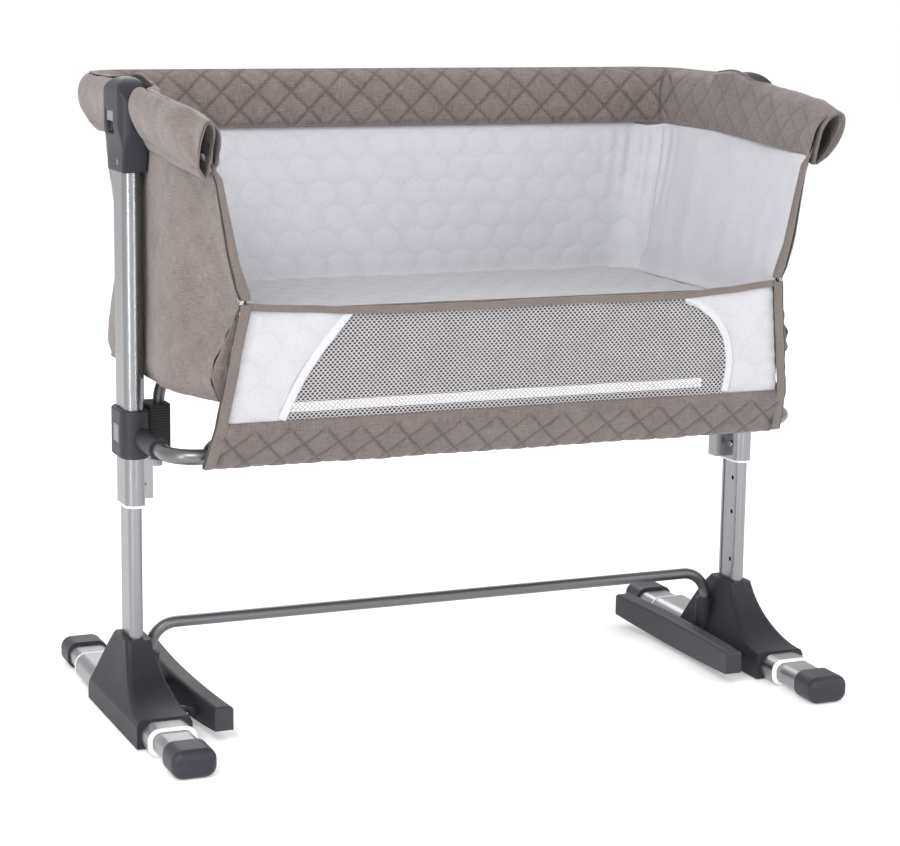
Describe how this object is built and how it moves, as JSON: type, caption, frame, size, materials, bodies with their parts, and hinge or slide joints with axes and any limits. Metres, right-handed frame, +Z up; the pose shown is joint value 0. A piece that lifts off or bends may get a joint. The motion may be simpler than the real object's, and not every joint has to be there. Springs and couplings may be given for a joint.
{
  "type": "bassinet on stand",
  "caption": "Fold-down co-sleeping bassinet on a height-adjustable stand, with a quilted fabric bag, drop side, mattress, telescoping feet and rocker bars.",
  "frame": {"origin": "on the floor, midway between the two posts and between the front and rear foot caps", "axes": "+X along the bed's length, +Y away from the drop side, +Z up"},
  "size_m": [0.952, 0.556, 0.824],
  "materials": {
    "charcoal_plastic": "satin moulded plastic, slate grey",
    "black_plastic": "ribbed black plastic",
    "rocker_plastic": "moulded plastic with a fine grain on top",
    "grey_plastic": "light grey button plastic",
    "white_plastic": "white nylon bush",
    "satin_aluminium": "satin anodised, drawn lengthways",
    "grey_steel": "grey metallic powder coat",
    "rail_steel": "glossier grey metallic paint",
    "bright_steel": "brushed steel",
    "taupe_fabric": "taupe melange linen weave, quilted at the rim",
    "pale_quilt": "pale quilted cotton",
    "mesh_fabric": "open mesh between white quilted corners",
    "mattress_cover": "white quilted cover over foam",
    "board": "fibreboard"
  },
  "bodies": {
    "base": {"foot_bushes": "white_plastic", "stretcher_bar": "grey_steel", "rocker_pins": "bright_steel", "left_foot_housing": "charcoal_plastic", "left_foot_tube": "satin_aluminium", "left_inner_post": "satin_aluminium", "left_rocker_brackets": "black_plastic", "right_foot_housing": "charcoal_plastic", "right_foot_tube": "satin_aluminium", "right_inner_post": "satin_aluminium", "right_rocker_brackets": "black_plastic"},
    "upper_frame": {"post_bushes": "white_plastic", "cap_screws": "bright_steel", "rear_top_rail": "rail_steel", "mattress_support": "grey_steel", "bag": "taupe_fabric", "lining": "pale_quilt", "mattress_board": "board", "mattress": "mattress_cover", "rear_rim": "taupe_fabric", "left_outer_post": "satin_aluminium", "left_collar": "charcoal_plastic", "left_latch_block": "black_plastic", "left_latch_channel": "satin_aluminium", "left_top_cap": "charcoal_plastic", "left_upper_arm": "grey_steel", "left_rim_sleeve": "taupe_fabric", "right_outer_post": "satin_aluminium", "right_collar": "charcoal_plastic", "right_latch_block": "black_plastic", "right_latch_channel": "satin_aluminium", "right_top_cap": "charcoal_plastic", "right_upper_arm": "grey_steel", "right_rim_sleeve": "taupe_fabric"},
    "front_panel": {"front_panel": "mesh_fabric", "front_band": "taupe_fabric"},
    "front_rail": {"front_rail": "rail_steel"},
    "left_front_foot": {"left_front_foot_extension": "satin_aluminium", "left_front_foot_cap": "charcoal_plastic"},
    "left_rear_foot": {"left_rear_foot_extension": "satin_aluminium", "left_rear_foot_cap": "charcoal_plastic"},
    "left_rocker": {"left_rocker_bar": "rocker_plastic"},
    "left_latch_pin": {"left_latch_pin": "bright_steel"},
    "left_collar_button": {"left_collar_button": "grey_plastic"},
    "left_arm_knob": {"left_arm_knob": "grey_plastic"},
    "left_cap_button": {"left_cap_button": "grey_plastic"},
    "left_zip_slider": {"left_zip_slider": "bright_steel"},
    "right_front_foot": {"right_front_foot_extension": "satin_aluminium", "right_front_foot_cap": "charcoal_plastic"},
    "right_rear_foot": {"right_rear_foot_extension": "satin_aluminium", "right_rear_foot_cap": "charcoal_plastic"},
    "right_rocker": {"right_rocker_bar": "rocker_plastic"},
    "right_latch_pin": {"right_latch_pin": "bright_steel"},
    "right_collar_button": {"right_collar_button": "grey_plastic"},
    "right_arm_knob": {"right_arm_knob": "grey_plastic"},
    "right_cap_button": {"right_cap_button": "grey_plastic"},
    "right_zip_slider": {"right_zip_slider": "bright_steel"}
  },
  "joints": [
    {"name": "height_slide", "type": "slide", "parent": "base", "child": "upper_frame", "axis": [0, 0, 1], "range_m": [-0.167, 0]},
    {"name": "left_front_foot_slide", "type": "slide", "parent": "base", "child": "left_front_foot", "axis": [0, -1, 0], "range_m": [-0.05, 0.03]},
    {"name": "left_rear_foot_slide", "type": "slide", "parent": "base", "child": "left_rear_foot", "axis": [0, 1, 0], "range_m": [-0.05, 0.03]},
    {"name": "left_rocker_hinge", "type": "hinge", "parent": "base", "child": "left_rocker", "pos_m": [-0.396, 0, 0.022], "axis": [0, 1, 0], "range_deg": [0, 45]},
    {"name": "left_latch_pin_press", "type": "slide", "parent": "upper_frame", "child": "left_latch_pin", "axis": [1, 0, 0], "range_m": [0, 0.004], "stiffness_N_per_m": 900},
    {"name": "left_collar_button_press", "type": "slide", "parent": "upper_frame", "child": "left_collar_button", "axis": [1, 0, 0], "range_m": [0, 0.0018], "stiffness_N_per_m": 1200},
    {"name": "left_cap_button_press", "type": "slide", "parent": "upper_frame", "child": "left_cap_button", "axis": [1, 0, 0], "range_m": [0, 0.002], "stiffness_N_per_m": 1200},
    {"name": "left_arm_knob_turn", "type": "hinge", "parent": "upper_frame", "child": "left_arm_knob", "pos_m": [-0.432, -0.088, 0.353], "axis": [0, 0, 1], "range_deg": [0, 180]},
    {"name": "left_zip_slide", "type": "slide", "parent": "upper_frame", "child": "left_zip_slider", "axis": [-0.2524, -0.0777, 0.9645], "range_m": [0, 0.16]},
    {"name": "right_front_foot_slide", "type": "slide", "parent": "base", "child": "right_front_foot", "axis": [0, -1, 0], "range_m": [-0.05, 0.03]},
    {"name": "right_rear_foot_slide", "type": "slide", "parent": "base", "child": "right_rear_foot", "axis": [0, 1, 0], "range_m": [-0.05, 0.03]},
    {"name": "right_rocker_hinge", "type": "hinge", "parent": "base", "child": "right_rocker", "pos_m": [0.396, 0, 0.022], "axis": [0, -1, 0], "range_deg": [0, 45]},
    {"name": "right_latch_pin_press", "type": "slide", "parent": "upper_frame", "child": "right_latch_pin", "axis": [-1, 0, 0], "range_m": [0, 0.004], "stiffness_N_per_m": 900},
    {"name": "right_collar_button_press", "type": "slide", "parent": "upper_frame", "child": "right_collar_button", "axis": [-1, 0, 0], "range_m": [0, 0.0018], "stiffness_N_per_m": 1200},
    {"name": "right_cap_button_press", "type": "slide", "parent": "upper_frame", "child": "right_cap_button", "axis": [-1, 0, 0], "range_m": [0, 0.002], "stiffness_N_per_m": 1200},
    {"name": "right_arm_knob_turn", "type": "hinge", "parent": "upper_frame", "child": "right_arm_knob", "pos_m": [0.432, -0.088, 0.353], "axis": [0, 0, 1], "range_deg": [0, 180]},
    {"name": "right_zip_slide", "type": "slide", "parent": "upper_frame", "child": "right_zip_slider", "axis": [0.2524, -0.0777, 0.9645], "range_m": [0, 0.16]},
    {"name": "panel_fold", "type": "hinge", "parent": "upper_frame", "child": "front_panel", "pos_m": [0, -0.228, 0.57], "axis": [1, 0, 0], "range_deg": [-185.4, 0]},
    {"name": "rail_turn", "type": "hinge", "parent": "front_panel", "child": "front_rail", "pos_m": [0, -0.165, 0.371], "axis": [1, 0, 0], "range_deg": [0, 185.4]}
  ],
  "couplings": [
    {"joint": "rail_turn", "follows": "panel_fold", "ratio": -1}
  ]
}
